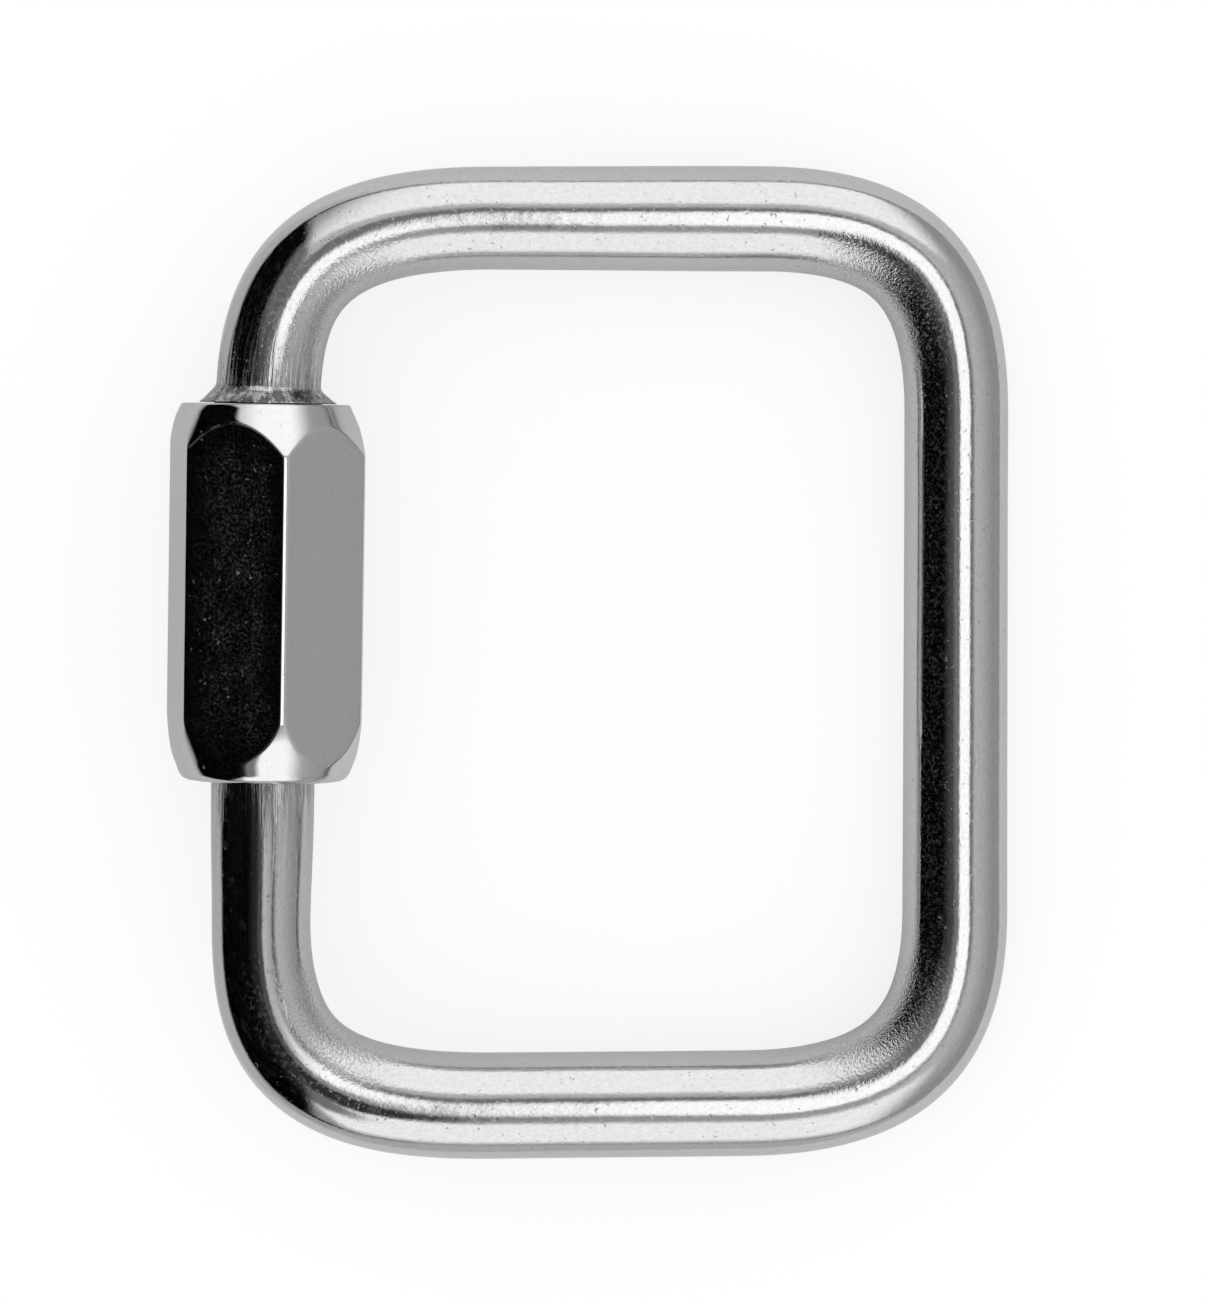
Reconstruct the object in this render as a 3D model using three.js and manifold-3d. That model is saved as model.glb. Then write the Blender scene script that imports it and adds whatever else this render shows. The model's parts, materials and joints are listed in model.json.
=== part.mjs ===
// A square quick link: one round stainless bar bent to a square-cornered C, with threaded ends
// that face each other across the gate, and a hexagonal sleeve nut that screws across it.
//
// Millimetres. The link is drawn flat in the XY plane: +Y runs along the legs towards the collar
// end, +X from the gate leg to the closed leg, +Z out of the link's plane. It is then tipped about
// Y as it lies on a table, on the sleeve's lowest edge and the closed leg, because the sleeve is
// thicker than the bar. The origin is the centre of the whole object's bounding box.

import * as THREE from 'three';
import { mergeVertices } from 'three/addons/utils/BufferGeometryUtils.js';
import Module from 'manifold-3d';

// ---- Driving dimensions: the bar ----
const BAR_DIAMETER = 8;
const LEG_SPACING = 53.5; // between the leg axes, at mid height
const END_SPACING = 68.5; // between the axes of the two end bars
const GATE_LEAN = THREE.MathUtils.degToRad(0.95); // the gate leg leans towards +X at the top

// Each bend, measured from the square corner: where it starts on its leg and on its end bar, and
// how far its middle lies inside the corner along each of them. No two are quite alike.
const BENDS = {
  lowerGate: { leg: 15, bar: 17.8, cut: 3.55 },
  lowerClosed: { leg: 14.9, bar: 16.5, cut: 3.68 },
  upperClosed: { leg: 15, bar: 15.3, cut: 3.46 },
  upperGate: { leg: 14.2, bar: 17.1, cut: 3.49 },
};

// ---- Driving dimensions: the gate, measured down the gate leg from the collar's face ----
const COLLAR_HEIGHT = 20.05; // the collar face's y, on the gate leg's axis
const COLLAR_DIAMETER = 10.7;
const COLLAR_RIM = 0.3; // thickness of the collar's cylindrical rim
const COLLAR_FLARE = 1.7; // height of the concave flare above the rim
const COLLAR_NECK = 0.5; // plain metal between the collar and its stub's thread
const UPPER_STUB = 5.7; // from the collar's face to the upper stub's tip
const GATE_GAP = 9; // from one stub's tip to the other's
const LOWER_THREAD = 11.6; // length of the lower stub's thread

// ---- Driving dimensions: the thread, right-handed ----
const PITCH = 1.5;
const STUB_CREST = 4.85;
const STUB_ROOT = 4.1;
const SLEEVE_ROOT = 5.15; // bottom of the groove inside the sleeve
const SLEEVE_BORE = 4.3;
const CREST_FLAT = 0.19;
const THREAD_RUNOUT = 0.95; // each end of a stub's thread fades out over this length, at 45 degrees
const GROOVE_PLAY = 0.4; // how much wider the sleeve's groove is than the stub's ridge
const FLANK_SLOPE = Math.tan(Math.PI / 6);

// ---- Driving dimensions: the sleeve ----
const ACROSS_FLATS = 13.85; // takes a 14 mm spanner
const SLEEVE_LENGTH = 28.7;
const SLEEVE_CLEARANCE = 0.2; // from the collar's face to the closed sleeve
const SLEEVE_CLOCKING = THREE.MathUtils.degToRad(9.9); // from +Z to the front edge, towards +X
const END_FACE_RADIUS = 6;
const CHAMFER_LENGTH = 4; // how far the turned chamfer reaches along the hexagon's edges
const CHAMFER_BULGE = [1.2, 1.4]; // the chamfer curve's control point, out and in from the end face
const MOUTH_RADIUS = 5.4;
const TOP_MOUTH_DEPTH = 1;
const LEAD_LENGTH = 2; // the plain lead-in ring inside the lower mouth
const LEAD_INNER = 4.5;
const LEAD_OUTER = 5.1;
const LEAD_CLEARANCE = 0.3; // between the ring and the counterbore that it sits in
const LEAD_INSET = 0.1; // from the sleeve's lower end to the ring

// ---- Facets ----
const BAR_SIDES = 18;
const BAR_STEPS = 84;
const TURN_SEGMENTS = 16;
const LATHE_SEGMENTS = 32;
const CURVE_STEPS = 5;
const SLIVER = 0.1; // cutting and joining shapes run past each other by this much

const wasm = await Module();
wasm.setup();

// A closed geometry as a manifold solid: only its positions count, and shared points are merged.
function solid(geometry) {
  const bare = geometry.clone();
  bare.deleteAttribute('normal');
  bare.deleteAttribute('uv');
  const merged = mergeVertices(bare, 1e-5);
  const mesh = new wasm.Mesh({
    numProp: 3,
    vertProperties: new Float32Array(merged.attributes.position.array),
    triVerts: new Uint32Array(merged.index.array),
  });
  mesh.merge();
  return new wasm.Manifold(mesh);
}

function geometryOf(body) {
  const mesh = body.getMesh();
  const geometry = new THREE.BufferGeometry();
  geometry.setAttribute('position', new THREE.BufferAttribute(mesh.vertProperties, 3));
  geometry.setIndex(new THREE.BufferAttribute(mesh.triVerts, 1));
  geometry.computeVertexNormals();
  return geometry;
}

// ---- Shapes about the gate leg's axis, which is Y here, with y = 0 at the collar's face ----

// points are [radius, y] pairs, from the axis round the outside and back to the axis.
function turned(points) {
  const profile = points.map(([radius, y]) => new THREE.Vector2(radius, y));
  return solid(new THREE.LatheGeometry(profile, LATHE_SEGMENTS));
}

// A right-handed screw between two heights. At angle 0, on +Z, a crest is centred on y = 0.
function screw({ crest, root, crestFlat, bottom, top }) {
  const flank = (crest - root) * FLANK_SLOPE;
  const halfBase = crestFlat / 2 + flank;
  const profile = [
    [root, -halfBase],
    [crest, -crestFlat / 2],
    [crest, crestFlat / 2],
    [root, halfBase],
  ];
  const firstTurn = Math.floor(bottom / PITCH) - 1;
  const turns = Math.ceil(top / PITCH) + 1 - firstTurn;
  const columns = turns * TURN_SEGMENTS;
  const corners = profile.length;
  const positions = [];
  for (let column = 0; column <= columns; column += 1) {
    const angle = (column / TURN_SEGMENTS) * 2 * Math.PI;
    const height = (firstTurn + column / TURN_SEGMENTS) * PITCH;
    for (const [radius, offset] of profile) {
      positions.push(radius * Math.sin(angle), height + offset, radius * Math.cos(angle));
    }
  }
  const point = (column, corner) => column * corners + corner;
  const faces = [];
  const quad = (a, b, c, d) => faces.push(a, b, c, a, c, d);

  for (let column = 0; column < columns; column += 1) {
    for (let corner = 0; corner < corners - 1; corner += 1) {
      quad(
        point(column, corner),
        point(column + 1, corner),
        point(column + 1, corner + 1),
        point(column, corner + 1),
      );
    }
    // The root between this ridge and the same ridge one turn further up.
    const above = column + TURN_SEGMENTS;
    if (above < columns) {
      quad(
        point(column, corners - 1),
        point(column + 1, corners - 1),
        point(above + 1, 0),
        point(above, 0),
      );
    }
  }

  // Both ends close with a fan to a point on the axis.
  const lowLoop = [];
  for (let column = TURN_SEGMENTS; column > 0; column -= 1) {
    lowLoop.push(point(column, 0));
  }
  for (let corner = 0; corner < corners; corner += 1) {
    lowLoop.push(point(0, corner));
  }
  const highLoop = [];
  const lastTurn = columns - TURN_SEGMENTS;
  for (let column = lastTurn; column < columns; column += 1) {
    highLoop.push(point(column, corners - 1));
  }
  for (let corner = corners - 1; corner >= 0; corner -= 1) {
    highLoop.push(point(columns, corner));
  }
  const cap = (loop, height) => {
    const centre = positions.length / 3;
    positions.push(0, height, 0);
    loop.forEach((from, i) => faces.push(centre, from, loop[(i + 1) % loop.length]));
  };
  cap(lowLoop, (firstTurn + 0.5) * PITCH);
  cap(highLoop, (firstTurn + turns - 0.5) * PITCH);

  const geometry = new THREE.BufferGeometry();
  geometry.setAttribute('position', new THREE.Float32BufferAttribute(positions, 3));
  geometry.setIndex(faces);
  return solid(geometry);
}

// A stub's thread from one height to a lower one. It fades out at both ends.
function stubThread(top, bottom) {
  const faded = STUB_CREST - THREAD_RUNOUT;
  const outside = STUB_CREST + SLIVER;
  const envelope = turned([
    [0, bottom],
    [faded, bottom],
    [outside, bottom + outside - faded],
    [outside, top - outside + faded],
    [faded, top],
    [0, top],
  ]);
  const ridge = screw({
    crest: STUB_CREST,
    root: STUB_ROOT,
    crestFlat: CREST_FLAT,
    bottom,
    top,
  });
  return ridge.intersect(envelope);
}

// ---- The bent bar ----

const barRadius = BAR_DIAMETER / 2;
const up = new THREE.Vector3(0, 1, 0);
const right = new THREE.Vector3(1, 0, 0);
const gateUp = new THREE.Vector3(Math.sin(GATE_LEAN), Math.cos(GATE_LEAN), 0);

// The gate leg's axis at height y.
function gateAxisAt(y) {
  return new THREE.Vector3(-LEG_SPACING / 2 + y * Math.tan(GATE_LEAN), y, 0);
}

// One bend: a cubic from one straight to the next, with its middle cut from the square corner.
function bend(corner, into, reachInto, outOf, reachOut, cut) {
  const straightness = (reach) => ((8 * cut) / reach - 1) / 3;
  const along = (direction, distance) => corner.clone().addScaledVector(direction, distance);
  return new THREE.CubicBezierCurve3(
    along(into, -reachInto),
    along(into, -reachInto * straightness(reachInto)),
    along(outOf, reachOut * straightness(reachOut)),
    along(outOf, reachOut),
  );
}

function barPath() {
  const half = END_SPACING / 2;
  const collarFace = gateAxisAt(COLLAR_HEIGHT);
  const upperTip = collarFace.clone().addScaledVector(gateUp, -UPPER_STUB);
  const lowerTip = collarFace.clone().addScaledVector(gateUp, -UPPER_STUB - GATE_GAP);
  const left = right.clone().negate();
  const gateDown = gateUp.clone().negate();
  const lowerCorner = new THREE.Vector3(LEG_SPACING / 2, -half, 0);
  const upperCorner = new THREE.Vector3(LEG_SPACING / 2, half, 0);
  const { lowerGate, lowerClosed, upperClosed, upperGate } = BENDS;
  const bends = [
    bend(gateAxisAt(-half), gateDown, lowerGate.leg, right, lowerGate.bar, lowerGate.cut),
    bend(lowerCorner, right, lowerClosed.bar, up, lowerClosed.leg, lowerClosed.cut),
    bend(upperCorner, up, upperClosed.leg, left, upperClosed.bar, upperClosed.cut),
    bend(gateAxisAt(half), left, upperGate.bar, gateDown, upperGate.leg, upperGate.cut),
  ];
  const path = new THREE.CurvePath();
  let from = lowerTip;
  for (const curve of bends) {
    path.add(new THREE.LineCurve3(from, curve.v0));
    path.add(curve);
    from = curve.v3;
  }
  path.add(new THREE.LineCurve3(from, upperTip));
  return path;
}

function bentBar() {
  const section = new THREE.Shape();
  section.absarc(0, 0, barRadius, 0, 2 * Math.PI);
  return solid(new THREE.ExtrudeGeometry(section, {
    steps: BAR_STEPS,
    curveSegments: BAR_SIDES / 2, // a full arc gets two sides for each
    extrudePath: barPath(),
  }));
}

// The upset collar: a concave flare from the bar out to a thin rim.
function collar() {
  const rim = COLLAR_DIAMETER / 2;
  const flare = new THREE.QuadraticBezierCurve(
    new THREE.Vector2(rim, COLLAR_RIM),
    new THREE.Vector2(barRadius + COLLAR_RIM, 2 * COLLAR_RIM),
    new THREE.Vector2(barRadius - SLIVER, COLLAR_RIM + COLLAR_FLARE),
  );
  const outline = flare.getPoints(CURVE_STEPS).map((p) => [p.x, p.y]);
  return turned([[0, 0], [rim, 0], ...outline, [0, COLLAR_RIM + COLLAR_FLARE]]);
}

// Turns a shape built about the Y axis onto the gate leg.
function onGateLeg(body) {
  const face = gateAxisAt(COLLAR_HEIGHT);
  const place = new THREE.Matrix4().makeRotationZ(-GATE_LEAN).setPosition(face);
  return body.transform(place.elements);
}

function linkBody() {
  const lowerTip = -UPPER_STUB - GATE_GAP;
  const upper = stubThread(-COLLAR_NECK, -UPPER_STUB);
  const lower = stubThread(lowerTip, lowerTip - LOWER_THREAD);
  return bentBar().add(onGateLeg(collar())).add(onGateLeg(upper)).add(onGateLeg(lower));
}

// ---- The sleeve ----

const sleeveTop = -SLEEVE_CLEARANCE;
const sleeveBottom = sleeveTop - SLEEVE_LENGTH;
const hexagonCorner = ACROSS_FLATS / 2 / Math.cos(Math.PI / 6);

// The sleeve's turned outline: a hexagon's corners are cut by it near both ends.
function sleeveTurning() {
  const [bulgeOut, bulgeIn] = CHAMFER_BULGE;
  const lowerChamfer = new THREE.QuadraticBezierCurve(
    new THREE.Vector2(END_FACE_RADIUS, sleeveBottom),
    new THREE.Vector2(END_FACE_RADIUS + bulgeOut, sleeveBottom + bulgeIn),
    new THREE.Vector2(hexagonCorner + SLIVER, sleeveBottom + CHAMFER_LENGTH),
  );
  const lower = lowerChamfer.getPoints(CURVE_STEPS).map((p) => [p.x, p.y]);
  const upper = lower.map(([radius, y]) => [radius, sleeveTop + sleeveBottom - y]).reverse();
  return turned([[0, sleeveBottom], ...lower, ...upper, [0, sleeveTop]]);
}

function hexagon() {
  const outline = new THREE.Shape();
  // The outline's y becomes +Z when the prism is tipped over, so angles run from +Z to +X.
  for (let i = 0; i < 6; i += 1) {
    const angle = SLEEVE_CLOCKING + (i * Math.PI) / 3;
    const x = hexagonCorner * Math.sin(angle);
    const z = hexagonCorner * Math.cos(angle);
    if (i === 0) outline.moveTo(x, z);
    else outline.lineTo(x, z);
  }
  outline.closePath();
  const prism = new THREE.ExtrudeGeometry(outline, {
    depth: SLEEVE_LENGTH + 2 * SLIVER,
    bevelEnabled: false,
  });
  prism.rotateX(Math.PI / 2);
  prism.translate(0, sleeveTop + SLIVER, 0);
  return solid(prism);
}

// What is cut out of the sleeve: its bore, both mouths and the helical groove of the thread.
function sleeveHollow() {
  const counterbore = sleeveBottom + LEAD_LENGTH + LEAD_CLEARANCE;
  const bore = turned([
    [0, sleeveBottom - SLIVER],
    [MOUTH_RADIUS, sleeveBottom - SLIVER],
    [MOUTH_RADIUS, counterbore],
    [SLEEVE_BORE, counterbore + MOUTH_RADIUS - SLEEVE_BORE],
    [SLEEVE_BORE, sleeveTop - TOP_MOUTH_DEPTH],
    [MOUTH_RADIUS, sleeveTop],
    [MOUTH_RADIUS, sleeveTop + SLIVER],
    [0, sleeveTop + SLIVER],
  ]);
  const stubHalfWidth = CREST_FLAT / 2 + (STUB_CREST - SLEEVE_ROOT) * FLANK_SLOPE;
  const tap = screw({
    crest: SLEEVE_ROOT,
    root: SLEEVE_BORE,
    crestFlat: 2 * stubHalfWidth + GROOVE_PLAY,
    bottom: sleeveBottom,
    top: sleeveTop,
  });
  const reach = turned([
    [0, sleeveBottom],
    [MOUTH_RADIUS, sleeveBottom],
    [MOUTH_RADIUS, sleeveTop],
    [0, sleeveTop],
  ]);
  return bore.add(tap.intersect(reach));
}

function sleeve() {
  const blank = hexagon().intersect(sleeveTurning());
  return onGateLeg(blank.subtract(sleeveHollow()));
}

function leadRing() {
  const bottom = sleeveBottom + LEAD_INSET;
  const top = sleeveBottom + LEAD_LENGTH;
  const profile = [
    [LEAD_INNER, bottom],
    [LEAD_OUTER, bottom],
    [LEAD_OUTER, top],
    [LEAD_INNER, top],
    [LEAD_INNER, bottom],
  ];
  return onGateLeg(turned(profile));
}

// ---- Scene ----

const solids = {
  link_body: linkBody(),
  sleeve: sleeve(),
  sleeve_lead_ring: leadRing(),
};
const finishes = {
  link_body: { color: 0xb9bbbd, roughness: 0.16 },
  sleeve: { color: 0xc2c4c6, roughness: 0.2 },
  sleeve_lead_ring: { color: 0xa8aaac, roughness: 0.35 },
};

const flatLink = new THREE.Group();
for (const [name, body] of Object.entries(solids)) {
  const material = new THREE.MeshStandardMaterial({ ...finishes[name], metalness: 1 });
  const mesh = new THREE.Mesh(geometryOf(body), material);
  mesh.name = name;
  flatLink.add(mesh);
}

// At rest the sleeve's lowest edge and the closed leg's underside touch the same flat surface:
// the edge hangs hexagonCorner * cos(clocking + tilt) below its axis, the leg barRadius below its
// own, and the leg's axis lies LEG_SPACING * sin(tilt) below the sleeve's.
function restingTilt() {
  const across = LEG_SPACING + hexagonCorner * Math.sin(SLEEVE_CLOCKING);
  const down = hexagonCorner * Math.cos(SLEEVE_CLOCKING);
  return Math.atan2(down, across) - Math.asin(barRadius / Math.hypot(across, down));
}

flatLink.rotation.y = restingTilt();
const link = new THREE.Group();
link.add(flatLink);
const box = new THREE.Box3().setFromObject(link, true);
link.position.copy(box.getCenter(new THREE.Vector3())).negate();

export default link;
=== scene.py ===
"""A polished square quick link on a pale floor: a bent bar with a collar and two threaded stubs,
closed by a hexagonal screw sleeve.

Lengths are millimetres while a shape is built, and metres in the scene. The link's shapes are
drawn in its own plane: +Y along the legs, +X from the gate leg to the closed leg. Shapes about
the gate leg are drawn about Y with y = 0 at the collar's face and angles from +Z towards +X.
"""

import json
import math

import bmesh
import bpy
import numpy as np
from mathutils import Matrix, Vector, noise


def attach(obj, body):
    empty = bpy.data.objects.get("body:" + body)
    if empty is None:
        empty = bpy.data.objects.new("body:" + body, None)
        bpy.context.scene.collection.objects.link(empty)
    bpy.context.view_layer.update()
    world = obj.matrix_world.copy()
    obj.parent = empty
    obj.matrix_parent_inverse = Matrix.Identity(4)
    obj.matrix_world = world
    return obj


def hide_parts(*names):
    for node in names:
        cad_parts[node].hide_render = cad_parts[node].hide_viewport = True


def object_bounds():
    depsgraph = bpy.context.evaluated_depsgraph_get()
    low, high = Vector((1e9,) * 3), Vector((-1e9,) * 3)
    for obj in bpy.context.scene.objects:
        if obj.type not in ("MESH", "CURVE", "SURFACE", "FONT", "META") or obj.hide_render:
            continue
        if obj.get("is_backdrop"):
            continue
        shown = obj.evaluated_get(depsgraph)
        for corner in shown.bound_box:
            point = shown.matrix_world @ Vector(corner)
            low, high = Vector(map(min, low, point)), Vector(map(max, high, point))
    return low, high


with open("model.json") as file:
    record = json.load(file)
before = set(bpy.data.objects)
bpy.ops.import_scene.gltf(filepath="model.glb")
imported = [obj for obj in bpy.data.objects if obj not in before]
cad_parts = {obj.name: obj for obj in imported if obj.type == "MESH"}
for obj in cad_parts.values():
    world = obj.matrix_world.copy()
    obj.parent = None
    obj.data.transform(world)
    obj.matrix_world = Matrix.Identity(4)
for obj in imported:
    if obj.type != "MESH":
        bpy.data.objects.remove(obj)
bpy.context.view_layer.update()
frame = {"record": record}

MM = 0.001

# ---- The link's driving dimensions, as in the CAD part ----
BAR_RADIUS = 4.0
LEG_SPACING = 53.5
END_SPACING = 68.5
GATE_LEAN = math.radians(0.95)
COLLAR_HEIGHT = 20.05
UPPER_STUB = 5.7
GATE_GAP = 9.0
LOWER_THREAD = 11.6
PITCH = 1.5
THREAD_CREST = 4.85
THREAD_ROOT = 4.1
THREAD_FADE = 0.95
CREST_FLAT = 0.19
GROOVE_ROOT = 5.15
GROOVE_PLAY = 0.4
SLEEVE_BORE = 4.3
HALF_FLATS = 6.925
SLEEVE_LENGTH = 28.7
SLEEVE_CLEARANCE = 0.2
SLEEVE_CLOCKING = math.radians(9.9)
FLANK = math.tan(math.radians(30))

# Each bend from its square corner: reach along the leg and along the end bar, and cut inside.
BENDS = {
    "lower_gate": (15.0, 17.8, 3.55),
    "lower_closed": (14.9, 16.5, 3.68),
    "upper_closed": (15.0, 15.3, 3.46),
    "upper_gate": (14.2, 17.1, 3.49),
}


# ---- From the link's own plane to the scene ----
def resting_place():
    """The matrix that lays the flat link on its closed leg and the sleeve's lowest edge, in mm."""
    corner = HALF_FLATS / math.cos(math.pi / 6)
    across = LEG_SPACING + corner * math.sin(SLEEVE_CLOCKING)
    down = corner * math.cos(SLEEVE_CLOCKING)
    tilt = math.atan2(down, across) - math.asin(BAR_RADIUS / math.hypot(across, down))
    turn = Matrix.Rotation(tilt, 4, "Y")
    hinge = next(j for j in frame["record"]["behaviour"]["joints"] if j["type"] == "hinge")
    on_axis = Vector(hinge["pos_m"]) / MM
    return Matrix.Translation(on_axis - turn @ Vector((-LEG_SPACING / 2, 0, 0))) @ turn


PLACE = resting_place()


def gate_axis(y):
    """The gate leg's axis at height y."""
    return np.array([-LEG_SPACING / 2 + y * math.tan(GATE_LEAN), y, 0.0])


def closed_axis(y):
    """The closed leg's axis at height y."""
    return np.array([LEG_SPACING / 2, y, 0.0])


def to_gate_leg():
    """Takes a shape about Y, with y = 0 at the collar's face, to its place in the scene."""
    collar = Matrix.Translation(Vector(gate_axis(COLLAR_HEIGHT)))
    return PLACE @ collar @ Matrix.Rotation(-GATE_LEAN, 4, "Z")


# ---- Small numeric helpers ----
def smooth(x, low, high):
    """0 below low, 1 above high, and a smooth step between."""
    t = np.clip((np.asarray(x, float) - low) / (high - low), 0, 1)
    return t * t * (3 - 2 * t)


def bump(x, low, high, edge):
    """1 between low and high, falling to 0 over edge on both sides."""
    return smooth(x, low - edge, low) * (1 - smooth(x, high, high + edge))


def thread_radius(angle, y, root, crest, flat):
    """The radius of a right-handed thread whose crest passes angle 0 at y = 0."""
    phase = y / PITCH - angle / (2 * math.pi)
    from_crest = np.abs(phase - np.round(phase)) * PITCH
    return np.clip(crest - (from_crest - flat / 2) / FLANK, root, crest)


# ---- Meshes ----
def mesh_of(name, points, faces, place):
    """A smooth-shaded object from points in mm, which place takes to the scene."""
    mesh = bpy.data.meshes.new(name)
    placed = [place @ Vector(p) * MM for p in points]
    mesh.from_pydata(placed, [], faces)
    mesh.polygons.foreach_set("use_smooth", [True] * len(mesh.polygons))
    mesh.validate()
    obj = bpy.data.objects.new(name, mesh)
    bpy.context.scene.collection.objects.link(obj)
    return obj


def set_attribute(obj, name, kind, field, values):
    layer = obj.data.attributes.new(name, kind, "POINT")
    layer.data.foreach_set(field, np.asarray(values, np.float32).ravel())


def finish_mesh(obj, straight, names, marks, crease):
    """Stores what the materials read: every point's place on the straightened piece, and its marks
    by name. Then turns the closed surface's faces outward, and keeps the edges that are sharper
    than crease, in degrees, sharp under smooth shading.
    """
    set_attribute(obj, "straight", "FLOAT_VECTOR", "vector", straight)
    for name, values in zip(names, np.transpose(marks)):
        set_attribute(obj, name, "FLOAT", "value", values)
    work = bmesh.new()
    work.from_mesh(obj.data)
    bmesh.ops.recalc_face_normals(work, faces=work.faces)
    work.to_mesh(obj.data)
    work.free()
    obj.data.set_sharp_from_angle(angle=math.radians(crease))


def tube_faces(rings):
    """The quads between successive closed rings, each a list of point numbers."""
    faces = []
    for low, high in zip(rings, rings[1:]):
        n = len(low)
        faces += [(low[i], low[(i + 1) % n], high[(i + 1) % n], high[i]) for i in range(n)]
    return faces


# ---- The bent bar ----
SIDES = 96  # round the bar
STEP = 0.4  # between the plain bar's rings
THREAD_STEP = 0.075  # between a thread's rings
FINE_STEP = 0.1  # between the centreline's points
BEND_POINTS = 90
BAR_CREASE = 38

THREAD_RUN_OUT = 0.4  # from the lower thread's end to the plain bar
PLAIN_FROM = LOWER_THREAD + THREAD_RUN_OUT
NECK = 0.5  # from the collar's face to the upper thread
COLLAR_START = 1.6  # from the end of the plain bar to the collar's face
TIP_RADIUS = 3.4

# Each stub's eased end, as (distance from the tip, radius).
STUB_TIP = [(0.0, 2.4), (0.0, 3.3), (0.04, 3.42)]

# The collar's concave flare, then its thin rim with eased edges, as (distance back from the
# collar's face, radius).
COLLAR_FLARE = [
    (1.45, 4.0),
    (1.25, 4.04),
    (1.08, 4.13),
    (0.92, 4.27),
    (0.76, 4.44),
    (0.6, 4.61),
    (0.45, 4.77),
    (0.32, 4.91),
    (0.23, 5.03),
    (0.17, 5.13),
    (0.13, 5.2),
    (0.09, 5.235),
    (0.05, 5.25),
    (0.02, 5.235),
]
COLLAR_FACE = [5.2, 5.0, 4.5, 4.15]  # the radii of its face's rings

# The bar's width across, measured in the link's plane: (distance from the lower stub's tip, mm).
BAR_WIDTHS = [
    (0, 8.0),
    (14, 7.96),
    (19, 7.9),
    (24, 7.58),
    (27, 7.6),
    (33, 8.0),
    (43, 8.26),
    (55, 8.18),
    (72, 8.18),
    (90, 8.2),
    (105, 8.1),
    (130, 8.0),
    (150, 8.04),
    (165, 8.1),
    (180, 7.9),
    (200, 7.9),
    (212, 8.12),
    (226, 8.0),
    (240, 8.0),
]
WIDTH_SHARE = 0.35  # how much of a change in width shows in the bar's thickness

# The bar's unevenness: long waves, and short ripples that grow inside the bends, in mm.
WAVE, WAVE_LENGTH = 0.012, 7
RIPPLE, BEND_RIPPLE, RIPPLE_LENGTH = 0.003, 0.012, 2.2
# Inside bends as tight as these radii, the ripples and the marks are at their full strength.
RIPPLED_BEND = 9
MARKED_BEND = 14

# The bar's marks, each 0 to 1: hammered inside a bend, worn there and on the closed leg, drawn
# over near the collar and below the sleeve, striped near the collar, painted shade in lines below
# the sleeve that dims its reflections, and scuffed on the collar.
BAR_MARKS = ("bent", "worn", "drawn", "striped", "painted_shade", "scuffed")

# Stretches of the bar as (from, to, fade), in mm from the lower stub's tip.
CLOSED_LEG = (92, 135, 12)
BELOW_SLEEVE = (12, 34, 5)
CLOSED_LEG_WEAR = 0.22
# Lines of painted shade along the bar below the sleeve, which dim its reflections: darkness, then
# (from, to, fade) in degrees from +Z towards +X.
SHADE_LINES = ((0.65, (-16, 3, 5)), (0.75, (8, 12, 2.5)))
SLEEVE_END = 14.5  # from the lower stub's tip
SLEEVE_FADE = 3.0  # the drawn marks fade out over this length below the sleeve
COLLAR_FADE = 2.4  # and over this length from the collar
FLARE_START = 1.3  # the collar's own marks start this far before its face
ON_COLLAR = 0.45  # how much the collar itself is drawn and striped
SCUFFS_FROM, SCUFFS_FULL = 1.5, 0.9  # before the collar's face


def bend_points(corner, into, reach_in, out_of, reach_out, cut):
    """A cubic round one bend, between points at these distances from its square corner."""
    t = np.linspace(0, 1, BEND_POINTS)[:, None]
    pull_in = (8 * cut / reach_in - 1) / 3
    pull_out = (8 * cut / reach_out - 1) / 3
    start, end = corner - into * reach_in, corner + out_of * reach_out
    near, far = corner - into * reach_in * pull_in, corner + out_of * reach_out * pull_out
    return (
        (1 - t) ** 3 * start
        + 3 * (1 - t) ** 2 * t * near
        + 3 * (1 - t) * t**2 * far
        + t**3 * end
    )


def centreline():
    """(points, distances along) of the bar's axis, finely and evenly spaced, from the lower tip."""
    up = np.array([0.0, 1.0, 0.0])
    right = np.array([1.0, 0.0, 0.0])
    gate_up = np.array([math.sin(GATE_LEAN), math.cos(GATE_LEAN), 0.0])
    half = END_SPACING / 2

    bends = []
    for name, corner, into, out_of, from_leg in (
        ("lower_gate", gate_axis(-half), -gate_up, right, True),
        ("lower_closed", closed_axis(-half), right, up, False),
        ("upper_closed", closed_axis(half), up, -right, True),
        ("upper_gate", gate_axis(half), -right, -gate_up, False),
    ):
        leg, bar, cut = BENDS[name]
        reach_in, reach_out = (leg, bar) if from_leg else (bar, leg)
        bends.append(bend_points(corner, into, reach_in, out_of, reach_out, cut))

    face = gate_axis(COLLAR_HEIGHT)
    tip = face - gate_up * (UPPER_STUB + GATE_GAP)
    path = np.concatenate([[tip], *bends, [face - gate_up * UPPER_STUB]])
    along = np.concatenate([[0], np.cumsum(np.linalg.norm(np.diff(path, axis=0), axis=1))])
    even = np.linspace(0, along[-1], int(along[-1] / FINE_STEP))
    return np.stack([np.interp(even, along, path[:, i]) for i in range(3)], 1), even


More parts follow.
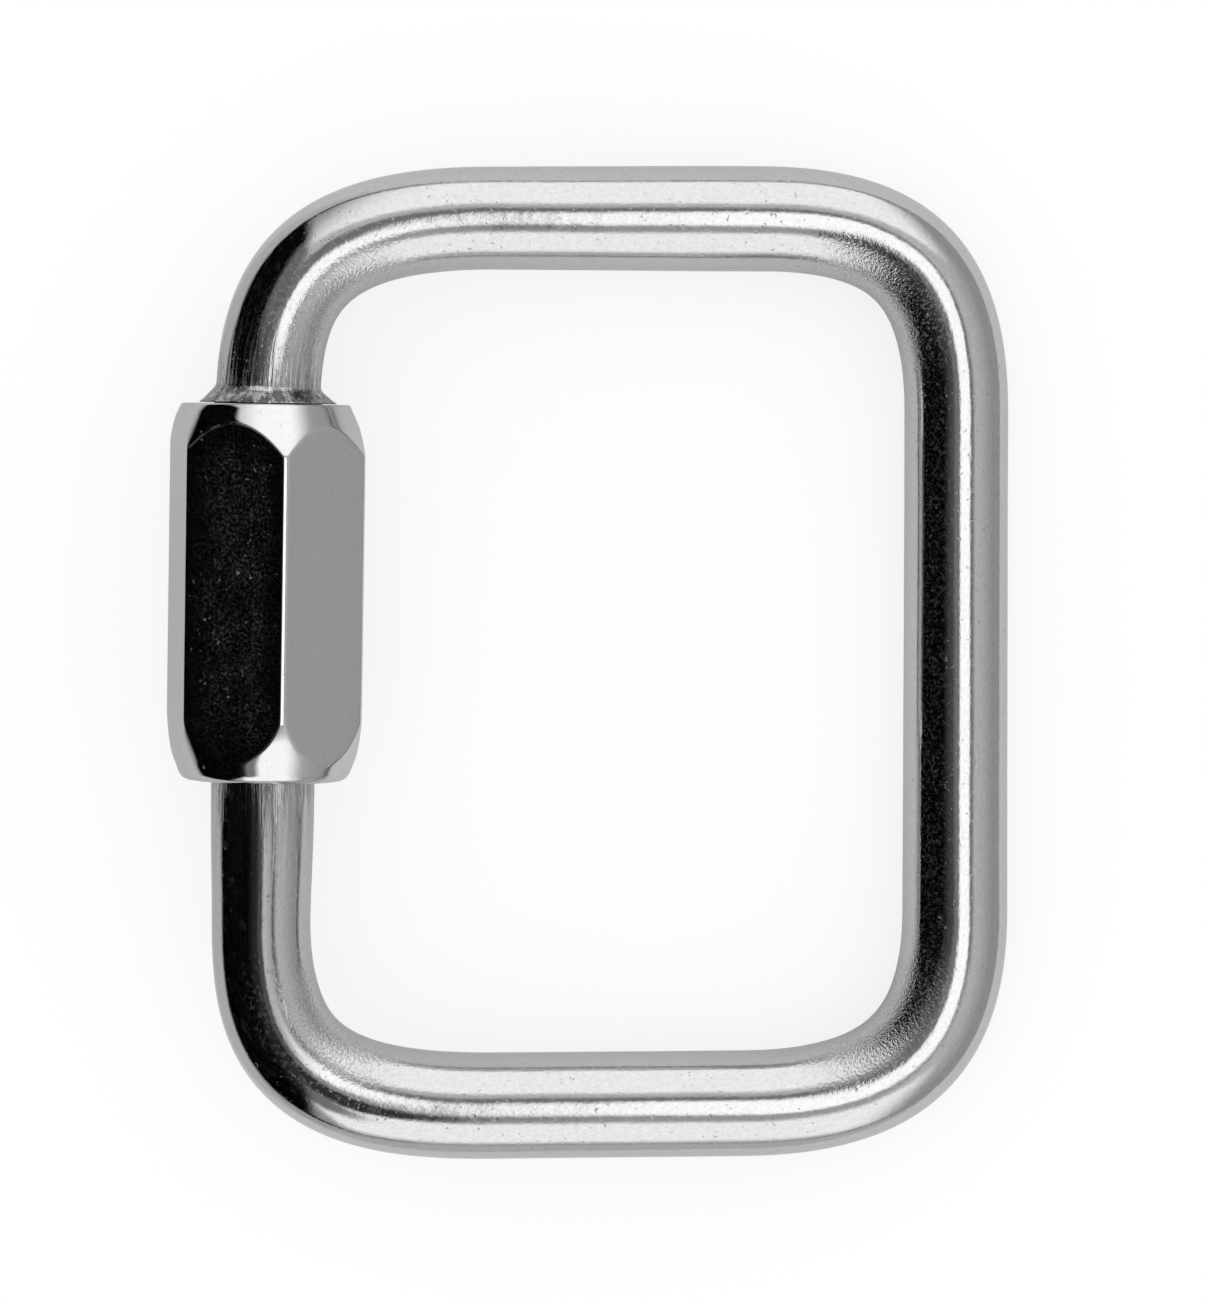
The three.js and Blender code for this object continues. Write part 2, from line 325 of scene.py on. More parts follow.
def stations(length):
    """Every ring of the bar as (distance along, radius or None for the bar's own, kind)."""
    face = length - UPPER_STUB
    bar_from, bar_to = PLAIN_FROM + 0.1, face - COLLAR_START
    plain_rings = int((bar_to - bar_from) / STEP)
    lower_thread = np.arange(0.1, PLAIN_FROM, THREAD_STEP)
    upper_thread = np.arange(face + 0.15, length - 0.1, THREAD_STEP)

    rings = [(s, radius, "turned") for s, radius in STUB_TIP]
    rings += [(s, None, "lower thread") for s in lower_thread]
    rings += [(s, None, "bar") for s in np.linspace(bar_from, bar_to, plain_rings)]
    rings += [(face - back, radius, "turned") for back, radius in COLLAR_FLARE]
    rings += [(face, radius, "turned") for radius in COLLAR_FACE]
    rings += [(face + 0.05, THREAD_ROOT, "turned")]
    rings += [(s, None, "upper thread") for s in upper_thread]
    rings += [(length - s, radius, "turned") for s, radius in reversed(STUB_TIP)]
    return rings


def stub_radius(kind, s, length, turn):
    """A stub's radius at this angle, with its thread faded in from the tip and out at the root."""
    face = length - UPPER_STUB
    if kind == "lower thread":
        height, from_tip, from_root = -UPPER_STUB - GATE_GAP - s, s, LOWER_THREAD - s
        swell = float(smooth(from_root, -THREAD_RUN_OUT, 0.2))
        core = BAR_RADIUS + (THREAD_ROOT - BAR_RADIUS) * swell
    else:
        height, from_tip, from_root = face - s, length - s, s - face - NECK
        core = THREAD_ROOT if from_root > 0 else BAR_RADIUS
    ridge = float(thread_radius(turn, height, THREAD_ROOT, THREAD_CREST, CREST_FLAT))
    limit = THREAD_CREST - THREAD_FADE + min(from_tip, from_root)
    return max(min(core, TIP_RADIUS + from_tip), min(ridge, limit))


def bar_radii(s, face, half_width, in_turn, centre, across, lift):
    """The plain bar's radii in the link's plane and square to it, with its slight unevenness,
    which fades out towards the lower thread and the collar.
    """
    from_thread = float(smooth(s, LOWER_THREAD, LOWER_THREAD + 3))
    from_collar = float(1 - smooth(s, face - 8, face - 2))
    blend = from_thread * from_collar
    extra = half_width - BAR_RADIUS
    x, y = centre[:2] / WAVE_LENGTH
    wave = noise.noise(Vector((x + across, y, lift * 1.3)))
    x, y = centre[:2] / RIPPLE_LENGTH
    ripple = noise.noise(Vector((x, y + across, lift * 2)))
    inner = max(0.0, -across) * min(1.0, in_turn * RIPPLED_BEND)
    swing = (WAVE * wave + (RIPPLE + BEND_RIPPLE * inner) * ripple) * blend
    in_plane = BAR_RADIUS + extra * blend + swing
    return in_plane, BAR_RADIUS + extra * WIDTH_SHARE * blend + swing


def bar_marks(s, face, in_turn, across, turn):
    """The bar's marks at one point."""
    in_bend = float(smooth(in_turn * MARKED_BEND, 0.3, 1))
    bent = in_bend * float(smooth(-across, 0.0, 0.6))
    wear = max(in_bend, CLOSED_LEG_WEAR * float(bump(s, *CLOSED_LEG)))
    worn = wear * float(1 - smooth(across, 0.1, 0.5))
    on_bar = s < face - FLARE_START
    striped = math.exp(-(face - 1.0 - s) / COLLAR_FADE) if on_bar else ON_COLLAR
    below = math.exp(-max(0.0, s - SLEEVE_END) / SLEEVE_FADE) if s > PLAIN_FROM else 0.0
    drawn = max(striped, 0.75 * below)
    # Painted shade: dark lines below the sleeve that dim its reflections.
    dark = sum(share * bump(math.degrees(turn), *line) for share, line in SHADE_LINES)
    painted_shade = float(dark * bump(s, *BELOW_SLEEVE))
    scuffed = float(smooth(s, face - SCUFFS_FROM, face - SCUFFS_FULL)) if s <= face else 0.0
    return bent, worn, drawn, striped, painted_shade, scuffed


def bar_mesh():
    path, even = centreline()
    length = even[-1]
    face = length - UPPER_STUB
    heading = np.gradient(path, axis=0)
    heading /= np.linalg.norm(heading, axis=1)[:, None]

    # How fast the bar turns, smoothed over 4 mm, and its width, smoothed over 8 mm.
    turn_rate = np.gradient(np.unwrap(np.arctan2(heading[:, 1], heading[:, 0])), even)
    kernel = np.hanning(41)
    turn_rate = np.convolve(turn_rate, kernel / kernel.sum(), mode="same")
    width_at, width = zip(*BAR_WIDTHS)
    fine_width = np.pad(np.interp(even, width_at, width), 40, mode="edge")
    fine_width = np.convolve(fine_width, np.hanning(81) / 40, "valid")

    def along_bar(s, values):
        return np.array([np.interp(s, even, values[:, i]) for i in range(3)])

    rings = stations(length)
    points, straight, marks = [], [], []
    for s, radius, kind in rings:
        centre, ahead = along_bar(s, path), along_bar(s, heading)
        ahead /= np.linalg.norm(ahead)
        side = np.array([ahead[1], -ahead[0], 0.0])  # outward from the window
        in_turn = abs(float(np.interp(s, even, turn_rate)))
        half_width = float(np.interp(s, even, fine_width)) / 2
        for angle in np.linspace(0, 2 * math.pi, SIDES, endpoint=False):
            across, lift = math.cos(angle), math.sin(angle)
            turn = math.atan2(across * side[0], lift)  # about Y, from +Z towards +X
            if kind == "turned":
                flat = upright = radius
            elif kind == "bar":
                flat, upright = bar_radii(s, face, half_width, in_turn, centre, across, lift)
            else:
                flat = upright = stub_radius(kind, s, length, turn)
            points.append(centre + side * (across * flat) + np.array([0, 0, lift * upright]))
            straight.append((across * BAR_RADIUS, lift * BAR_RADIUS, s))
            marks.append(bar_marks(s, face, in_turn, across, turn))

    circles = np.arange(len(points)).reshape(len(rings), SIDES).tolist()
    faces = tube_faces(circles)
    for circle, s in ((circles[0], 0), (circles[-1], length)):
        hub = len(points)
        points.append(along_bar(s, path))
        straight.append((0, 0, s))
        marks.append((0,) * len(BAR_MARKS))
        faces += [(hub, circle[i], circle[(i + 1) % SIDES]) for i in range(SIDES)]
    obj = mesh_of("link_bar", points, faces, PLACE)
    finish_mesh(obj, straight, BAR_MARKS, marks, BAR_CREASE)
    return obj


# ---- The sleeve ----
CORNER_SHARPNESS = 500  # the higher, the sharper the hexagon's edges are
BROKEN_EDGE = 7.905  # from the axis to the narrow flat along each broken edge
TOP_GAP = 0.05  # from the collar's face to the sleeve's top
INNER_SIDES = 96  # round the bore
SLEEVE_CREASE = 35

# Each end's chamfer, cut a little out of square: a cone that meets a flat's middle at a depth that
# varies round the sleeve, with an eased edge at the end face, as (mean depth, lean, towards,
# slope, curve, easing).
TOP_CHAMFER = (1.05, 0.72, math.radians(31), 0.47, -0.012, 0.16)
BOTTOM_CHAMFER = (1.45, 0.25, math.radians(-60), 0.42, -0.035, 0.55)
CHAMFER_BLEND = 0.06  # rounds the line where a chamfer meets the hexagon
DEEPEST_LINE = 7.0  # no chamfer meets the hexagon further in than this

# The rings of one end, from its face inward: on the easing, as shares of it, then on the cone, then
# about the line where the cone meets the hexagon, as distances past it. More are on the flats.
EASING_RINGS = (0, 0.06, 0.2, 0.45, 1)
CONE_RINGS = 6
LINE_RINGS = (-0.16, -0.08, 0.0, 0.08, 0.16, 0.3, 0.7, 1.6)
FLAT_RINGS = 12
RUBBED_LINE = 0.08  # the top end's line is rubbed this far to both sides

# Columns from a hexagon edge towards the middle of a flat, in degrees from the edge.
EDGE_COLUMNS = (0, 0.5, 0.85, 1.05, 1.2, 1.35, 1.6, 2.2, 3.2, 4.6, 6.6, 9, 12, 15, 18, 21, 24, 27)

# The inside: the end faces' inner radii, the plain lower mouth as (depth from the bottom, radius),
# where the thread starts above the bottom, and the upper mouth's radius.
TOP_FACE_INNER = 5.6
BOTTOM_FACE_INNER = 5.2
LOWER_MOUTH = ((0.0, 5.0), (0.12, 4.75), (0.3, 4.56), (0.5, 4.5), (2.0, 4.5), (2.1, 4.45))
THREAD_START = 2.3
UPPER_MOUTH = 5.3
INNER_STEP = 0.15  # between the rings of the inner thread
EASE = 0.05  # eases the thread's first turn and the upper mouth's edge

# The sleeve's marks, each 0 to 1: painted shade in its bore, which also roughens it, on the
# middle of its flats, and rubbed on the line of its top chamfer.
SLEEVE_MARKS = ("shaded_bore", "middle", "rubbed")
IN_MOUTH = 0.3
MIDDLE_FADE = (14, 27)  # degrees from the middle of a flat
END_FADE = (1.5, 5)  # mm from the nearer end


def hexagon_radius(angle):
    """The radius of the hexagon: six flats and six narrow broken edges."""
    total = 0.0
    for face in range(12):
        normal = SLEEVE_CLOCKING + math.radians(30 * face)
        distance = HALF_FLATS if face % 2 else BROKEN_EDGE
        facing = math.cos(angle - normal)
        if facing > 0:
            total += (facing * HALF_FLATS / distance) ** CORNER_SHARPNESS
    return HALF_FLATS * total ** (-1 / CORNER_SHARPNESS)


def chamfer_radius(depth, angle, chamfer):
    """The turned chamfer's radius at this depth from the end face."""
    mean, lean, towards, slope, curve, easing = chamfer
    along = depth - mean - lean * math.cos(angle - towards)
    edge = max(0.0, 1 - depth / easing)
    eased = easing * (1 - math.sqrt(1 - edge**2))
    return HALF_FLATS + slope * along + curve * along * abs(along) - eased


def chamfered_end(angle, reach, chamfer):
    """(depth, radius, whether on the rubbed line) from an end face inward, at this angle."""
    easing = chamfer[-1]
    depths = np.linspace(0, DEEPEST_LINE, 1401)
    turned = [chamfer_radius(depth, angle, chamfer) for depth in depths]
    line = float(np.interp(reach, turned, depths))
    rings = [(share * easing, 0.0) for share in EASING_RINGS]
    rings += [(d, 0.0) for d in np.linspace(easing, line - 0.3, CONE_RINGS + 1)[1:]]
    rings += [(line + past, float(abs(past) <= RUBBED_LINE)) for past in LINE_RINGS]
    column = []
    for depth, rubbed in rings:
        gap = reach - chamfer_radius(depth, angle, chamfer)
        cut = 0.5 * (gap + math.sqrt(gap * gap + CHAMFER_BLEND**2))
        column.append((depth, reach - cut, rubbed))
    return column


def sleeve_column(angle, top, bottom):
    """(y, radius, rubbed) from the top end face to the bottom one, outside at this angle."""
    reach = hexagon_radius(angle)
    upper = chamfered_end(angle, reach, TOP_CHAMFER)
    lower = chamfered_end(angle, reach, BOTTOM_CHAMFER)
    column = [(top - depth, radius, rubbed) for depth, radius, rubbed in upper]
    on_flat = np.linspace(column[-1][0], bottom + lower[-1][0], FLAT_RINGS + 2)[1:-1]
    column += [(y, reach, 0.0) for y in on_flat]
    column += [(bottom + depth, radius, 0.0) for depth, radius, _ in reversed(lower)]
    return column


def sleeve_angles():
    """Columns round the sleeve, closest at the hexagon's edges."""
    around = []
    for edge in range(0, 360, 60):
        around += [edge + a for a in EDGE_COLUMNS] + [edge + 30]
        around += [edge + 60 - a for a in reversed(EDGE_COLUMNS[1:])]
    return SLEEVE_CLOCKING + np.radians(around)


def inner_radius(angle, y, top, bottom):
    """The tapped bore's radius, with its thread faded in at the bottom and the upper mouth."""
    tap_width = CREST_FLAT + 2 * (THREAD_CREST - GROOVE_ROOT) * FLANK + GROOVE_PLAY
    groove = float(thread_radius(angle, y, SLEEVE_BORE, GROOVE_ROOT, tap_width))
    faded = SLEEVE_BORE + EASE + (y - bottom - THREAD_START)
    return max(SLEEVE_BORE, min(groove, faded), UPPER_MOUTH - (top - y))


def zip_rings(first, second, first_angles, second_angles):
    """Triangles between two rings of different counts, both given in rising angle."""
    faces = []
    i = j = 0
    n, m = len(first), len(second)

    def following(angles, index):
        if index >= len(angles):
            return math.inf
        return angles[index + 1] if index + 1 < len(angles) else angles[0] + 2 * math.pi

    while i < n or j < m:
        if following(first_angles, i) <= following(second_angles, j):
            faces.append((first[i % n], first[(i + 1) % n], second[j % m]))
            i += 1
        else:
            faces.append((first[i % n], second[(j + 1) % m], second[j % m]))
            j += 1
    return faces


def sleeve_mesh():
    top = -TOP_GAP
    bottom = -SLEEVE_CLEARANCE - SLEEVE_LENGTH
    outer_angles = sleeve_angles()
    inner_angles = np.linspace(0, 2 * math.pi, INNER_SIDES, endpoint=False) + outer_angles[0]
    points, marks = [], []

    def ring(angles, ys, radii, shaded_bore, rubbed=0.0):
        """Adds a ring of points and gives their numbers."""
        start = len(points)
        for a, y, r in zip(angles, ys, radii):
            points.append((r * math.sin(a), y, r * math.cos(a)))
            from_middle = abs((math.degrees(a - SLEEVE_CLOCKING) % 60) - 30)
            inward = min(top - y, y - bottom)
            middle = (1 - smooth(from_middle, *MIDDLE_FADE)) * smooth(inward, *END_FADE)
            marks.append((shaded_bore, float(middle), rubbed))
        return list(range(start, len(points)))

    def circle(angles, y, radius, shaded_bore):
        return ring(angles, [y] * len(angles), [radius] * len(angles), shaded_bore)

    columns = [sleeve_column(a, top, bottom) for a in outer_angles]
    outside = []
    for row in zip(*columns):
        ys, radii, rubbed = zip(*row)
        outside.append(ring(outer_angles, ys, radii, 0.0, rubbed[0]))
    # The end faces step in to their mouths.
    top_in = circle(outer_angles, top, TOP_FACE_INNER, 0.0)
    bottom_in = circle(outer_angles, bottom, BOTTOM_FACE_INNER, 0.0)

    inside = [circle(inner_angles, bottom + d, r, IN_MOUTH) for d, r in LOWER_MOUTH]
    for y in np.arange(bottom + THREAD_START + EASE, top - EASE, INNER_STEP):
        radii = [inner_radius(a, y, top, bottom) for a in inner_angles]
        inside.append(ring(inner_angles, [y] * INNER_SIDES, radii, 1.0))
    inside.append(circle(inner_angles, top, UPPER_MOUTH + EASE, IN_MOUTH))

    faces = tube_faces([top_in, *outside, bottom_in]) + tube_faces(inside)
    rising_outer = outer_angles - outer_angles[0]
    rising_inner = inner_angles - outer_angles[0]
    faces += zip_rings(bottom_in, inside[0], rising_outer, rising_inner)
    faces += zip_rings(inside[-1], top_in, rising_inner, rising_outer)

    obj = mesh_of("hex_sleeve", points, faces, to_gate_leg())
    finish_mesh(obj, points, SLEEVE_MARKS, marks, SLEEVE_CREASE)
    return obj


# ---- Node helpers ----
class Nodes:
    """Short calls for building a node tree."""

    def __init__(self, tree):
        self.tree = tree
        tree.nodes.clear()

    def add(self, kind, inputs=None, **settings):
        node = self.tree.nodes.new(kind)
        for name, value in settings.items():
            setattr(node, name, value)
        for key, value in (inputs or {}).items():
            self.feed(node.inputs[key], value)
        return node

    def feed(self, socket, value):
        if isinstance(value, bpy.types.NodeSocket):
            self.tree.links.new(value, socket)
        else:
            socket.default_value = value

    def math(self, operation, a, b=0.0):
        return self.add("ShaderNodeMath", {0: a, 1: b}, operation=operation).outputs[0]

    def product(self, *values):
        out = values[0]
        for value in values[1:]:
            out = self.math("MULTIPLY", out, value)
        return out

    def total(self, start, *terms):
        """start plus every (value, weight)."""
        for value, weight in terms:
            start = self.math("ADD", start, self.math("MULTIPLY", value, weight))
        return start

    def mix(self, factor, a, b):
        node = self.add("ShaderNodeMix", {0: factor, 2: a, 3: b}, data_type="FLOAT")
        return node.outputs[0]

    def cover(self, base, *layers):
        """base with every (mask, opacity, tone) laid over it in turn."""
        for mask, opacity, tone in layers:
            base = self.mix(self.math("MULTIPLY", mask, opacity), base, tone)
        return base

    def step(self, value, low, high, to_low=0.0, to_high=1.0):
        """A smooth step of value from low to high."""
        names = ("Value", "From Min", "From Max", "To Min", "To Max")
        inputs = dict(zip(names, (value, low, high, to_low, to_high)))
        node = self.add("ShaderNodeMapRange", inputs, interpolation_type="SMOOTHSTEP")
        return node.outputs["Result"]

    def between(self, value, low, high, edge_low, edge_high):
        """1 from low to high, with soft edges that wide centred on both."""
        rise = self.step(value, low - edge_low / 2, low + edge_low / 2)
        fall = self.step(value, high - edge_high / 2, high + edge_high / 2, 1.0, 0.0)
        return self.math("MULTIPLY", rise, fall)

    def noise(self, vector, scale, detail=2.0, roughness=0.5):
        inputs = {"Vector": vector, "Scale": scale, "Detail": detail, "Roughness": roughness}
        return self.add("ShaderNodeTexNoise", inputs).outputs["Fac"]

    def stretch(self, vector, scale):
        inputs = {0: vector, 1: scale}
        return self.add("ShaderNodeVectorMath", inputs, operation="MULTIPLY").outputs[0]

    def attribute(self, name, output="Fac"):
        return self.add("ShaderNodeAttribute", attribute_name=name).outputs[output]

    def grey(self, tone, blue=1.0):
        """A grey of this tone, with its blue this many times stronger."""
        inputs = {"Red": tone, "Green": tone, "Blue": self.math("MULTIPLY", tone, blue)}
        return self.add("ShaderNodeCombineColor", inputs).outputs[0]


def new_material(name):
    material = bpy.data.materials.new(name)
    material.use_nodes = True
    return material, Nodes(material.node_tree)


# ---- Materials ----
STEEL_BLUE = 1.004


def steel(n, height, tone, rough, metallic):
    """Polished steel over relief of this height in mm."""
    relief = n.add("ShaderNodeBump", {"Strength": 1.0, "Distance": MM, "Height": height})
    inputs = {
        "Metallic": metallic,
        "Base Color": n.grey(tone, STEEL_BLUE),
        "Roughness": rough,
        "Normal": relief.outputs[0],
    }
    shader = n.add("ShaderNodeBsdfPrincipled", inputs)
    n.add("ShaderNodeOutputMaterial", {"Surface": shader.outputs[0]})


def polished_bar():
    material, n = new_material("polished bar")
    straight = n.attribute("straight", "Vector")
    bent, worn, drawn, striped, painted_shade, scuffed = [n.attribute(name) for name in BAR_MARKS]

    # Noise on the straightened bar, at features per mm, detail and roughness, cut between levels.
    peel = n.noise(straight, 0.7, 1.0)
    grain = n.noise(n.stretch(straight, (1.0, 1.0, 0.6)), 4.2, 3.0, 0.65)
    streaks = n.noise(n.stretch(straight, (3.8, 3.8, 0.16)), 1.0, 3.0, 0.7)
    hammered = n.product(n.noise(straight, 4.0, 2.0, 0.6), bent)
    wear = n.step(n.noise(straight, 0.16, 2.0, 0.5), 0.4, 0.62)
    pits = n.step(n.noise(straight, 2.7, 2.0, 0.6), 0.665, 0.73)
    pits = n.product(pits, n.total(0.3, (wear, 0.7)))
    scuffs = n.product(n.step(n.noise(straight, 1.1, 4.0, 0.7), 0.45, 0.57), scuffed)
    haze = n.step(n.noise(n.stretch(straight, (1.0, 1.0, 0.5)), 2.6, 4.0, 0.75), 0.5, 0.75)
    specks = n.step(n.noise(straight, 3.4, 2.0, 0.7), 0.5, 0.66)
    dark_streaks = n.product(n.step(streaks, 0.44, 0.56), drawn)
    pale_streaks = n.product(n.step(streaks, 0.40, 0.49, 1.0, 0.0), striped)

    height = n.total(
        0.0,
        (peel, 0.008),
        (grain, 0.005),
        (hammered, 0.07),
        (n.product(streaks, drawn), 0.085),
        (pits, -0.014),
        (scuffs, -0.04),
    )
    tone = n.cover(
        n.mix(grain, 0.48, 0.7),
        (pits, 0.6, 0.25),
        (dark_streaks, 0.8, 0.14),
        (n.product(specks, bent), 0.45, 0.28),
        # painted shade in lines below the sleeve
        (painted_shade, 1.0, 0.06),
        (scuffs, 0.85, 0.08),
    )
    rough = n.total(n.mix(grain, 0.03, 0.1), (bent, 0.04), (drawn, 0.06))
    metallic = n.total(
        1.0,
        (haze, -0.022),
        (n.product(specks, worn), -0.17),
        (pale_streaks, -0.15),
    )
    steel(n, height, tone, rough, metallic)
    return material


def polished_sleeve():
    material, n = new_material("polished sleeve")
    straight = n.attribute("straight", "Vector")
    shaded_bore, middle, rubbed = [n.attribute(name) for name in SLEEVE_MARKS]

    # Noise at features per mm, detail and roughness, cut between levels.
    peel = n.noise(straight, 0.5, 1.0)
    grain = n.noise(n.stretch(straight, (1.0, 0.6, 1.0)), 4.5, 3.0, 0.65)
    etched = n.step(n.noise(straight, 4.5, 4.0, 0.8), 0.47, 0.72)
    cloud = n.step(n.noise(straight, 0.5, 3.0, 0.6), 0.38, 0.66)
    etched = n.product(etched, n.total(0.35, (cloud, 0.65)), n.total(0.15, (middle, 0.85)))
    specks = n.step(n.noise(n.stretch(straight, (1.0, 0.8, 1.0)), 2.1, 2.0, 0.6), 0.69, 0.74)
    lines = n.noise(n.stretch(straight, (4.5, 0.12, 4.5)), 1.0, 2.0, 0.6)
    patches = n.product(n.step(n.noise(straight, 0.9, 3.0, 0.7), 0.42, 0.62), rubbed)

    height = n.total(0.0, (peel, 0.004), (grain, 0.0012), (lines, 0.0012), (specks, -0.004))
    # The bore is darkened with painted shade.
    tone = n.cover(n.mix(grain, 0.6, 0.74), (specks, 0.4, 0.35), (shaded_bore, 0.5, 0.3))
    rough = n.total(n.mix(grain, 0.03, 0.08), (specks, 0.1), (shaded_bore, 0.15))
    metallic = n.total(1.0, (etched, -0.085), (specks, -0.16), (patches, -0.06))
    steel(n, height, tone, rough, metallic)
    return material


# ---- The studio ----
PAPER = 0.88  # the floor's reflectance
AMBIENT = 1.13  # the soft light from all round
DEGREES = 180 / math.pi

# The brightness of what polished metal sees.
WALLS = (0.68, 0.40)  # high up and low down
TOP_BOX = 1.38
LOW_BOX = 1.36
CAMERA_RIM = 0.24
BELOW_CAMERA = 0.5
DARKEST = 0.04
STAND = 0.24
OVERHEAD = 1.62
CARD = (0.065, 0.2)  # the black card's near edge, towards -Y and towards +Y


def studio_light():
    """Soft light from all round. Polished metal also sees grey walls, two long softboxes, the
    camera with a bright patch beside it and dark ones below, and a black card towards -X.

    A direction is (u, v) in degrees from straight up, u towards +X and v towards +Y.
    """
    world = bpy.data.worlds.new("studio")
    bpy.context.scene.world = world
    world.use_nodes = True
    n = Nodes(world.node_tree)
    towards = n.add("ShaderNodeTexCoord").outputs["Generated"]
    x, y, z = n.add("ShaderNodeSeparateXYZ", {"Vector": towards}).outputs
    away = n.math("MULTIPLY", n.math("ARCCOSINE", z), DEGREES)
    level = n.math("SQRT", n.math("ADD", n.product(x, x), n.product(y, y)))
    level = n.math("MAXIMUM", level, 1e-4)
    u = n.math("MULTIPLY", n.math("DIVIDE", x, level), away)
    v = n.math("MULTIPLY", n.math("DIVIDE", y, level), away)

    def box(across_u, across_v):
        """A softbox. Each span is (from, to, width of the first edge, width of the second)."""
        return n.math("MULTIPLY", n.between(u, *across_u), n.between(v, *across_v))

    def ellipse(centre, radii, edge, squareness=2):
        """1 inside, fading to 0 between these two shares of the radii."""
        parts = []
        for value, middle, radius in zip((u, v), centre, radii):
            part = n.math("DIVIDE", n.math("SUBTRACT", value, middle), radius)
            parts.append(n.math("POWER", n.math("ABSOLUTE", part), squareness))
        far = n.math("POWER", n.math("ADD", *parts), 1 / squareness)
        return n.step(far, *edge, 1.0, 0.0)

    light = n.step(away, 40, 95, *WALLS)
    round_camera = ellipse((10, -1), (27, 28), (0.95, 1.2))
    for shape, brightness in (
        (box((-21, 46, 42, 30), (31, 86, 9, 6)), TOP_BOX),
        (box((-23, 38, 9, 26), (-83, -34, 16, 9)), LOW_BOX),
        (ellipse((10, -1), (25, 21), (0.9, 1.25)), CAMERA_RIM),
        (n.product(n.step(v, -4, -16), round_camera), BELOW_CAMERA),
        (ellipse((-7.5, -22.5), (14, 14), (0.8, 1.15)), DARKEST),
        (ellipse((-17, -42), (12, 14), (0.5, 1.3)), STAND),
        (ellipse((17, -2.5), (11.6, 17), (0.78, 1.12), squareness=4), OVERHEAD),
    ):
        light = n.mix(shape, light, brightness)

    # The card spans azimuths about -X. It is dark grey at its near edge and fades to black further
    # from straight up, and the grey reaches further on its +Y side.
    back = n.math("MULTIPLY", x, -1.0)
    azimuth = n.math("MULTIPLY", n.math("ABSOLUTE", n.math("ARCTAN2", y, back)), DEGREES)
    half_span = n.mix(n.step(y, -0.1, 0.1), 65, 58)
    card = n.product(
        n.step(n.math("SUBTRACT", azimuth, half_span), -3, 3, 1.0, 0.0),
        n.step(away, 4, 10),
        n.step(away, 94, 99, 1.0, 0.0),
    )
    near_tone = n.step(v, -10, 16, *CARD)
    wider = n.between(v, 5, 44, 14, 8)
    fade_from, fade_to = n.mix(wider, 8, 25), n.mix(wider, 32, 36)
    tone = n.step(n.math("MULTIPLY", u, -1.0), fade_from, fade_to, near_tone, 0.0)
    light = n.mix(card, light, tone)

    rays = n.add("ShaderNodeLightPath").outputs
    plain = n.mix(rays["Is Camera Ray"], AMBIENT, AMBIENT * PAPER)
    strength = n.mix(rays["Is Glossy Ray"], plain, light)
    inputs = {"Color": (1.0, 1.0, 1.0, 1.0), "Strength": strength}
    background = n.add("ShaderNodeBackground", inputs)
    n.add("ShaderNodeOutputWorld", {"Surface": background.outputs[0]})


FLOOR_HALF = 4.0  # metres
PAPER_GRAIN = 0.008
GLOW = 1.02  # evens out the paper for the camera
GLOW_SHARE = 0.75


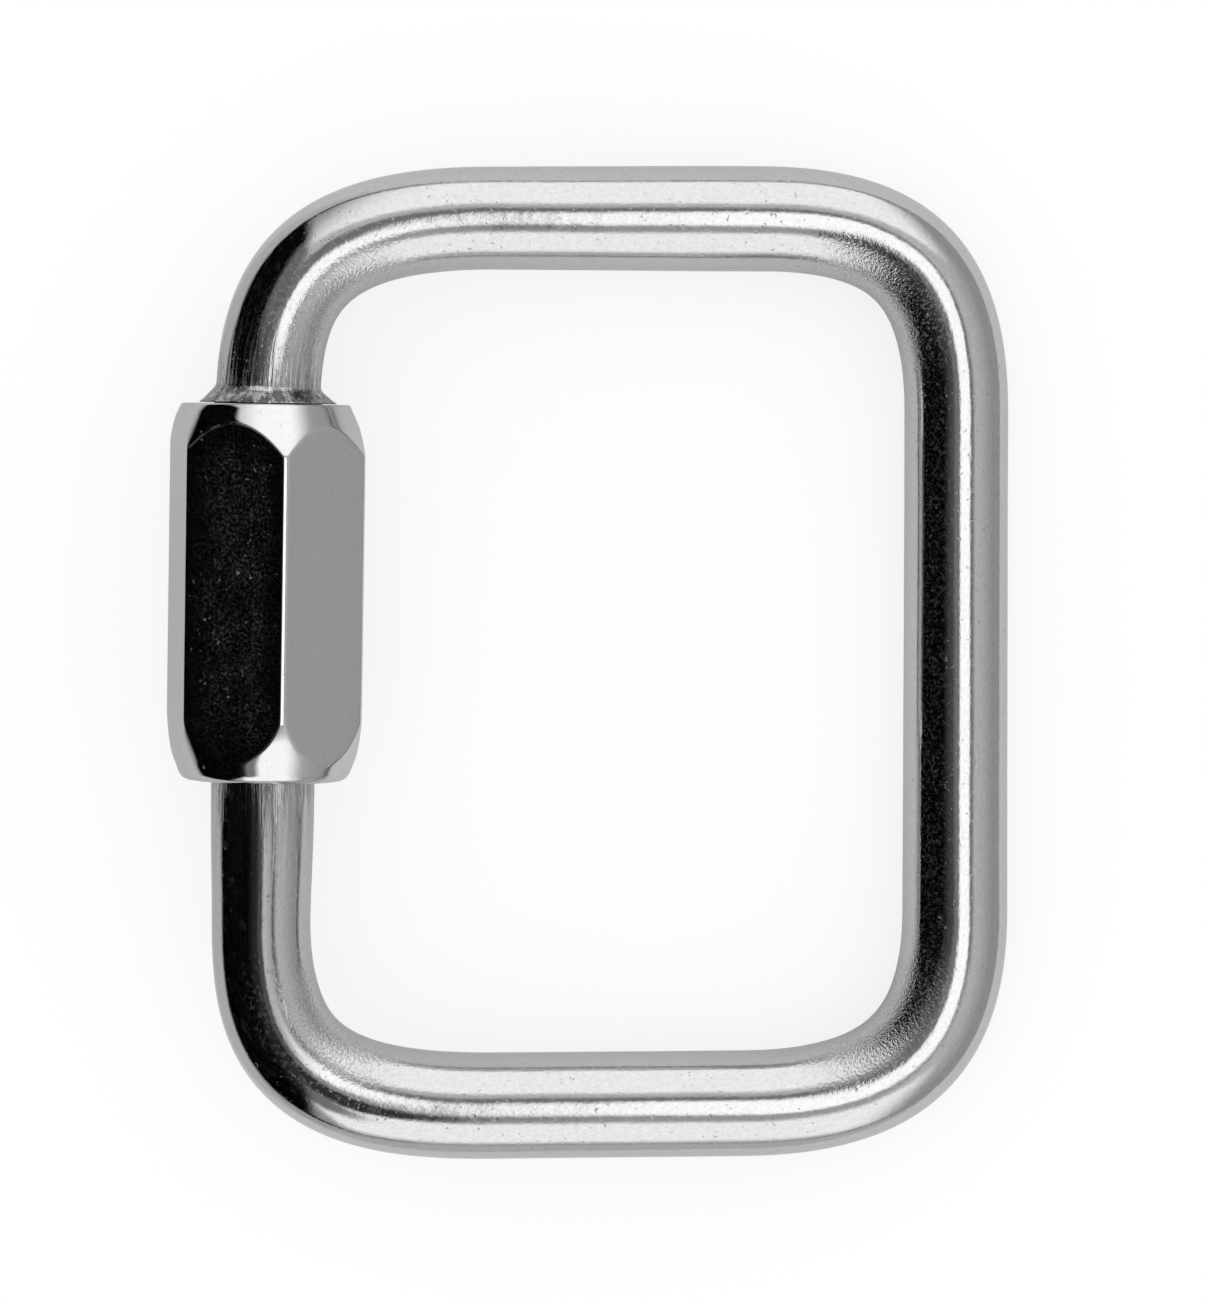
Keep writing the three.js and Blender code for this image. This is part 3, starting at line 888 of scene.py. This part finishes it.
def floor():
    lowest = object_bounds()[0][2]
    mesh = bpy.data.meshes.new("floor")
    corners = [(-1, -1), (1, -1), (1, 1), (-1, 1)]
    points = [(x * FLOOR_HALF, y * FLOOR_HALF, lowest) for x, y in corners]
    mesh.from_pydata(points, [], [(0, 1, 2, 3)])
    obj = bpy.data.objects.new("floor", mesh)
    bpy.context.scene.collection.objects.link(obj)
    material, n = new_material("pale paper")
    where = n.add("ShaderNodeTexCoord").outputs["Object"]
    rays = n.add("ShaderNodeLightPath").outputs

    # Polished metal sees the paper with painted shade, for glossy rays only: bright nearby, a
    # little darker beside the gate leg, and fading to dark further out. Places are in metres.
    x, y, _ = n.add("ShaderNodeSeparateXYZ", {"Vector": where}).outputs
    towards_y = n.mix(n.step(y, -0.06, -0.056), 0.6, 0.8)
    towards_x = n.mix(n.step(x, 0.047, 0.051), towards_y, 0.42)
    shade_by_gate = n.step(x, -0.037, -0.03, 0.82, 1.0)
    reflected_shade = n.product(n.step(x, -0.1, -0.055), towards_x, shade_by_gate)

    tone = n.mix(n.noise(where, 60.0, 3.0), PAPER - PAPER_GRAIN, PAPER + PAPER_GRAIN)
    # Painted shade: the paper is darker for glossy rays, so only in the metal's reflections.
    tone = n.math("MULTIPLY", tone, n.mix(rays["Is Glossy Ray"], 1.0, reflected_shade))
    paper = n.add("ShaderNodeBsdfDiffuse", {"Color": n.grey(tone)})
    glow = n.add("ShaderNodeEmission", {"Color": (1, 1, 1, 1), "Strength": GLOW})
    share = n.math("MULTIPLY", rays["Is Camera Ray"], GLOW_SHARE)
    blend = n.add("ShaderNodeMixShader", {0: share, 1: paper.outputs[0], 2: glow.outputs[0]})
    n.add("ShaderNodeOutputMaterial", {"Surface": blend.outputs[0]})
    mesh.materials.append(material)
    obj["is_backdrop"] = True


# ---- The camera ----
CAMERA_FROM = (1.23, 20.03, 410.0)
CAMERA_TO = (1.23, 1.01, -1.9)
FOCAL_LENGTH = 147.87
SENSOR_WIDTH = 36.0


def camera():
    data = bpy.data.cameras.new("camera")
    data.lens = FOCAL_LENGTH
    data.sensor_width = SENSOR_WIDTH
    data.clip_start = 0.01
    data.clip_end = 20.0
    obj = bpy.data.objects.new("camera", data)
    bpy.context.scene.collection.objects.link(obj)
    at, to = Vector(CAMERA_FROM) * MM, Vector(CAMERA_TO) * MM
    back = (at - to).normalized()
    side = Vector((0, 1, 0)).cross(back).normalized()
    up = back.cross(side)
    obj.matrix_world = Matrix.Translation(at) @ Matrix((side, up, back)).transposed().to_4x4()
    bpy.context.scene.camera = obj


# ---- The scene ----
bar = bar_mesh()
bar.data.materials.append(polished_bar())
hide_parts("link_body")
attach(bar, "link")

sleeve = sleeve_mesh()
sleeve.data.materials.append(polished_sleeve())
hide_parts("sleeve", "sleeve_lead_ring")
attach(sleeve, "sleeve")

floor()
studio_light()
camera()
bpy.context.scene.view_settings.view_transform = "Standard"
